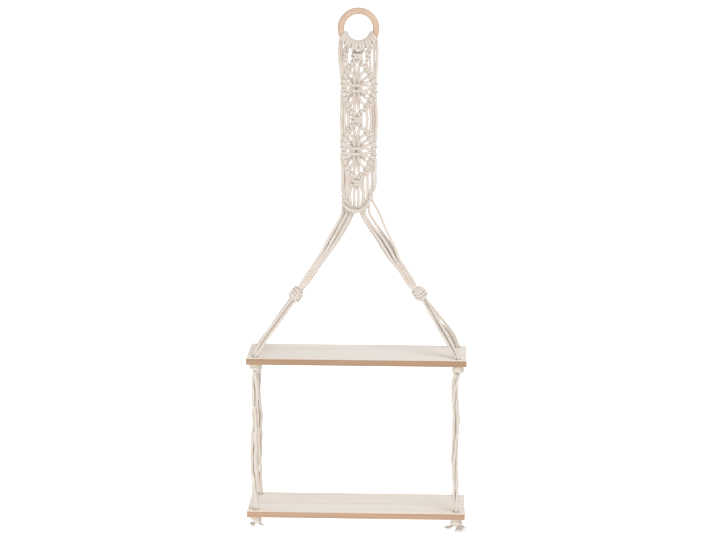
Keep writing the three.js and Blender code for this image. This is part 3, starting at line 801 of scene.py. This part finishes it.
# ---- stays, stop knots, drops and tails ----
shelf = {
    "corners": (("left_front", -1, -1), ("left_back", -1, 1), ("right_front", 1, -1), ("right_back", 1, 1)),
    "holeX": 184.0,
    "holeY": 50.0,
    "upperTop": -618.3,
    "lowerTop": -905.3,
    "thickness": 12.0,
    "knotGap": 0.3,  # between a board and the stop knot under it
    "stopKnotLength": 13.0,
    "dropTop": -648.998,
    "dropFoot": -899.902,
    "stayBows": {"left_front": -2.0, "left_back": 1.5, "right_front": 0.6, "right_back": 4.2},  # to the right
    "stayRadii": (2.7, 3.6, 4.4, 4.1, 3.1, 2.7, 2.7, 2.6),  # how far the strands lie from the middle line
    "stayTurns": 0.35,
    "stayWobble": 0.35,
    "dropBows": {"left_front": (-1.5, -4.5), "left_back": (-3.5, -1.5),
                 "right_front": (-5.5, -4.5), "right_back": (-4.0, -3.0)},  # to the right, high up and further down
    "dropRadii": (2.9, 3.5, 3.9, 4.1, 4.0, 3.3, 2.7),
    "dropTurns": 0.9,
    "dropWobble": 0.9,
    "wobbleLengths": (34, 57),
    "wobbleFade": 30,  # over how long a stretch the wobble grows from either end
    "seeds": {"stay": 31, "drop": 51, "tail": 11},
}
fray = {
    "yarns": 34,  # per strand
    "reach": {-1: (4.0, 9.0), 1: (9.0, 22.0)},  # shorter on the left
    "rootSpread": 1.9,
    "rootRise": (0.5, 2.5),
    "spread": (1.1, 0.8, 0.35),
    "droop": 0.42,
    "bow": 0.7,
    "sag": 0.9,
}


def underBoard(top):
    return top - shelf["thickness"] - shelf["knotGap"]


def strands(controls, name, wobble, seed):
    # three cords, each with a slight, slow wobble
    draw = random.Random(seed)
    found = []
    for k, points in enumerate(controls):
        path = smoothed(points)
        along = np.arange(len(path)) * cord["step"]
        fade = np.clip(np.minimum(along, along[-1] - along) / shelf["wobbleFade"], 0, 1)
        for axis in (0, 1):
            for length in shelf["wobbleLengths"]:
                wave = np.sin(along / length * 2 * math.pi + draw.uniform(0, 6.3))
                path[:, axis] += wobble * 0.5 * fade * wave
        piece = cordMesh(f"{name}_{k + 1}", [path])
        declared(path)
        found.append(piece)
    return found


def stopKnot(name, hole, top, body, seed, extra):
    # an overhand knot of three strands, tight under the board
    middle = at(hole.x, hole.y, underBoard(top) - shelf["stopKnotLength"] / 2)
    lean = at(0.22 * math.sin(seed * 2.1), 0.2 * math.cos(seed * 1.7), 1)
    paths = windings(middle + at(0, 0, 0.6), lean, radius=8.3, rows=2, spacing=5.2, turns=1.15, tilt=1.8, phase=seed)
    paths += windings(middle + at(1.2, 0, -0.8), at(lean.y + 0.75, -lean.x, 0.9), radius=8.6, rows=2, spacing=5.0,
                      turns=0.7, tilt=1.0, phase=seed + 2.2)
    paths += windings(middle, at(0, 0, 1), radius=3.6, rows=2, spacing=4.6, turns=1.0, tilt=0, phase=seed, sink=0.7)
    # nothing rises into the board
    ceiling = underBoard(top) - cord["radius"] * 1.05
    for path in paths:
        path[:, 2] = np.minimum(path[:, 2], ceiling)
    piece = cordMesh(f"{name}.cord", paths + extra)
    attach(piece, body)
    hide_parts(name)


def tail(name, hole, side, seed):
    # three strand ends that fray into yarns
    draw = random.Random(seed)
    knotFoot = underBoard(shelf["lowerTop"]) - shelf["stopKnotLength"]
    wide = fray["rootSpread"]
    cords, yarns = [], []
    for k in range(cord["bundle"]):
        angle = draw.uniform(-0.3, 0.3) + k * 2.1 - (1.2 if side > 0 else 0)
        lean = at(math.cos(angle), math.sin(angle) * 0.6, 0)
        top = at(hole.x, hole.y, knotFoot + 4) + lean * 2.6
        tip = at(hole.x, hole.y, knotFoot - 2.5) + lean * 6.5
        cords.append(smoothed([top, top.lerp(tip, 0.5) + at(0, 0, -1), tip]))
        for _ in range(fray["yarns"]):
            spread = at(*[draw.gauss(0, size) for size in fray["spread"]])
            root = tip + at(draw.uniform(-wide, wide), draw.uniform(-wide, wide), draw.uniform(*fray["rootRise"]))
            reach = draw.uniform(*fray["reach"][side])
            end = root + (lean + at(0, 0, -fray["droop"]) + spread * 0.4).normalized() * reach
            bow = root.lerp(end, 0.5) + at(draw.gauss(0, fray["bow"]), draw.gauss(0, fray["bow"]), -fray["sag"])
            yarns.append(smoothed([root, bow, end], cord["yarnStep"]))
    piece = cordMesh(f"{name}.cord", cords)
    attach(piece, "lower_shelf")
    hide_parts(name)
    fluff = cordMesh(f"{name}.yarns", yarns, yarnSection, cord["yarnLay"])
    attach(fluff, "lower_shelf")


for index, (corner, sideX, sideY) in enumerate(shelf["corners"]):
    knot = legKnot(corner.split("_")[0], sideX)
    hole = at(sideX * shelf["holeX"], sideY * shelf["holeY"], shelf["upperTop"])
    above = hole + at(-sideX * 2.0, -sideY * 1.0, 5)
    outward = (above - knot).normalized()
    bow = at(shelf["stayBows"][corner], 0, 0)
    middles = [knot + outward * 4, knot + outward * 16, knot.lerp(above, 0.5) + bow * 0.9,
               knot.lerp(above, 0.8) + bow * 1.1, above, hole, hole + at(0, 0, -7), hole + at(0, 0, -15)]
    controls = bundled(middles, shelf["stayRadii"], shelf["stayTurns"], index * 0.8)
    for piece in strands(controls, f"stay_strand_{corner}", shelf["stayWobble"], index + shelf["seeds"]["stay"]):
        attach(piece, "upper_shelf")
        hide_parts(f"stay_{corner}")
    stopKnot(f"upper_stop_knot_{corner}", hole, shelf["upperTop"], "upper_shelf", index * 1.3, [])

    # the drop, bowed a little and slowly turning, and its end in the lower board's hole
    top, foot = at(hole.x, hole.y, shelf["dropTop"] + 5), at(hole.x, hole.y, shelf["dropFoot"] - 2)
    high, low = (at(bow, -sideY * 1.5, 0) for bow in shelf["dropBows"][corner])
    middles = [top, top.lerp(foot, 0.06) + high * 0.5, top.lerp(foot, 0.2) + high, top.lerp(foot, 0.4) + high * 0.3,
               top.lerp(foot, 0.65) + low, top.lerp(foot, 0.9) + low * 0.3, foot]
    controls = bundled(middles, shelf["dropRadii"], shelf["dropTurns"] * sideX, index * 1.1)
    body = "front_drops" if sideY < 0 else "back_drops"
    for piece in strands(controls, f"drop_strand_{corner}", shelf["dropWobble"], index + shelf["seeds"]["drop"]):
        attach(piece, body)
        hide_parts(f"drop_cord_{corner}")
    below = at(hole.x, hole.y, shelf["lowerTop"] - shelf["thickness"] - 4)
    inHole = []
    for *_, end in controls:
        inHole.append(smoothed([end + at(0, 0, 1), end.lerp(below, 0.5), below + (end - foot) * 0.8]))
    stopKnot(f"lower_stop_knot_{corner}", hole, shelf["lowerTop"], "lower_shelf", index * 1.7 + 0.6, inHole)
    tail(f"tail_{corner}", hole, sideX, index + shelf["seeds"]["tail"])
print("stays, drops and tails made")
bpy.data.objects.remove(plySection)
bpy.data.objects.remove(yarnSection)


# ---- boards ----
board = {"width": 400.0, "depth": 130.0, "edge": 1.2, "edgeSteps": 3, "holeRadius": 6.0, "holeSegments": 40,
         "drillLength": 40}


def buildBoard(name, top, body, edge):
    thickness = shelf["thickness"]
    shape = bmesh.new()
    bmesh.ops.create_cube(shape, size=1)
    bmesh.ops.scale(shape, verts=shape.verts, vec=at(board["width"], board["depth"], thickness) * mm)
    bmesh.ops.bevel(shape, geom=shape.edges[:], offset=board["edge"] * mm, affect="EDGES", segments=board["edgeSteps"],
                    profile=0.5, material=-1)
    bmesh.ops.translate(shape, verts=shape.verts, vec=(0, 0, (top - thickness / 2) * mm))
    slab = newPiece(f"{name}.slab", meshOf(shape, name), None)
    radius = board["holeRadius"] * mm
    cutters = []
    for _, sideX, sideY in shelf["corners"]:
        drill = bmesh.new()
        bmesh.ops.create_cone(drill, cap_ends=True, segments=board["holeSegments"], radius1=radius, radius2=radius,
                              depth=board["drillLength"] * mm)
        bmesh.ops.translate(drill, verts=drill.verts,
                            vec=(sideX * shelf["holeX"] * mm, sideY * shelf["holeY"] * mm, top * mm))
        cutter = placed("drill", meshOf(drill, "drill"))
        cut = slab.modifiers.new("hole", "BOOLEAN")
        cut.operation = "DIFFERENCE"
        cut.object = cutter
        cutters.append(cutter)
    cutMesh = bpy.data.meshes.new_from_object(slab.evaluated_get(bpy.context.evaluated_depsgraph_get()))
    slab.modifiers.clear()
    slab.data = cutMesh
    for cutter in cutters:
        bpy.data.objects.remove(cutter)
    cutMesh.materials.clear()
    for material in (whitewash, edge, paleArris):
        cutMesh.materials.append(material)
    for face in cutMesh.polygons:
        # the flat faces, the upright ones with the holes' walls, and the bevel between them, whose pale colour is a
        # painted highlight
        steepness = abs(face.normal.z)
        face.material_index = 0 if steepness > 0.98 else 1 if steepness < 0.3 else 2
        face.use_smooth = False
    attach(slab, body)
    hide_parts(name)


buildBoard("upper_board", shelf["upperTop"], "upper_shelf", upperEdge)
buildBoard("lower_board", shelf["lowerTop"], "lower_shelf", lowerEdge)
print("boards made")


# ---- floor, lights and background ----
# in metres and watts
studio = {
    "floor": -1.3,
    "floorSize": 20,
    "floorTone": "EDEDEB",
    "floorGlow": 0.36,
    "whiteFrom": 0.9,  # how far off the floor begins to go over into the white backdrop
    "whiteAt": 2.2,
    "aim": (0, 0, -0.55),
    "key": {"place": (1.8, -2.1, 1.9), "size": 2.2, "power": 50},
    "fill": {"place": (-0.7, -1.35, -1.1), "size": 1.2, "power": 14},
    "ambient": 0.64,
}


def seenShare(start):
    # 1 where the camera sees a surface, straight, mirrored or through another one
    rays = start.node("ShaderNodeLightPath")
    outputs = rays.socket.node.outputs
    glossy, through = Link(start.tree, outputs["Is Glossy Ray"]), Link(start.tree, outputs["Is Transmission Ray"])
    return (rays + glossy + through).clamped()


def buildStage():
    shape = bmesh.new()
    bmesh.ops.create_grid(shape, x_segments=1, y_segments=1, size=studio["floorSize"])
    bmesh.ops.translate(shape, verts=shape.verts, vec=(0, 0, studio["floor"]))
    floor = placed("floor", meshOf(shape, "floor"))
    material, shader, start = newMaterial("paleFloor", 0.9)
    shader.inputs["Base Color"].default_value = tone(studio["floorTone"])
    shader.inputs["Emission Strength"].default_value = 1.0
    # the floor keeps its shadows near the shelf; inputs 0 to 2 of the map range are the value, its start and its end
    away = start.node("ShaderNodeVectorMath", {"operation": "LENGTH"}, {0: objectPlace(start)}, "Value")
    far = start.node("ShaderNodeMapRange", {"interpolation_type": "SMOOTHSTEP"},
                     {0: away, 1: studio["whiteFrom"], 2: studio["whiteAt"]})
    glow = seenShare(start).mixed(grey(0), far.mixed(grey(studio["floorGlow"]), grey(1)))
    start.tree.links.new(glow.socket, shader.inputs["Emission Color"])
    floor.data.materials.append(material)


def buildLight(name):
    light = studio[name]
    data = bpy.data.lights.new(name, "AREA")
    data.size = light["size"]
    data.energy = light["power"]
    lamp = placed(name, data)
    lamp.location = light["place"]
    lamp.rotation_euler = (Vector(studio["aim"]) - Vector(light["place"])).to_track_quat("-Z", "Y").to_euler()


buildStage()
buildLight("key")
buildLight("fill")
world = bpy.data.worlds.new("studio")
bpy.context.scene.world = world
world.use_nodes = True
start = Link(world.node_tree)
backdrop = world.node_tree.nodes["Background"]
start.tree.links.new(seenShare(start).mixed(grey(studio["ambient"]), grey(1)).socket, backdrop.inputs["Color"])
bpy.context.scene.view_settings.view_transform = "Standard"
print("stage made")
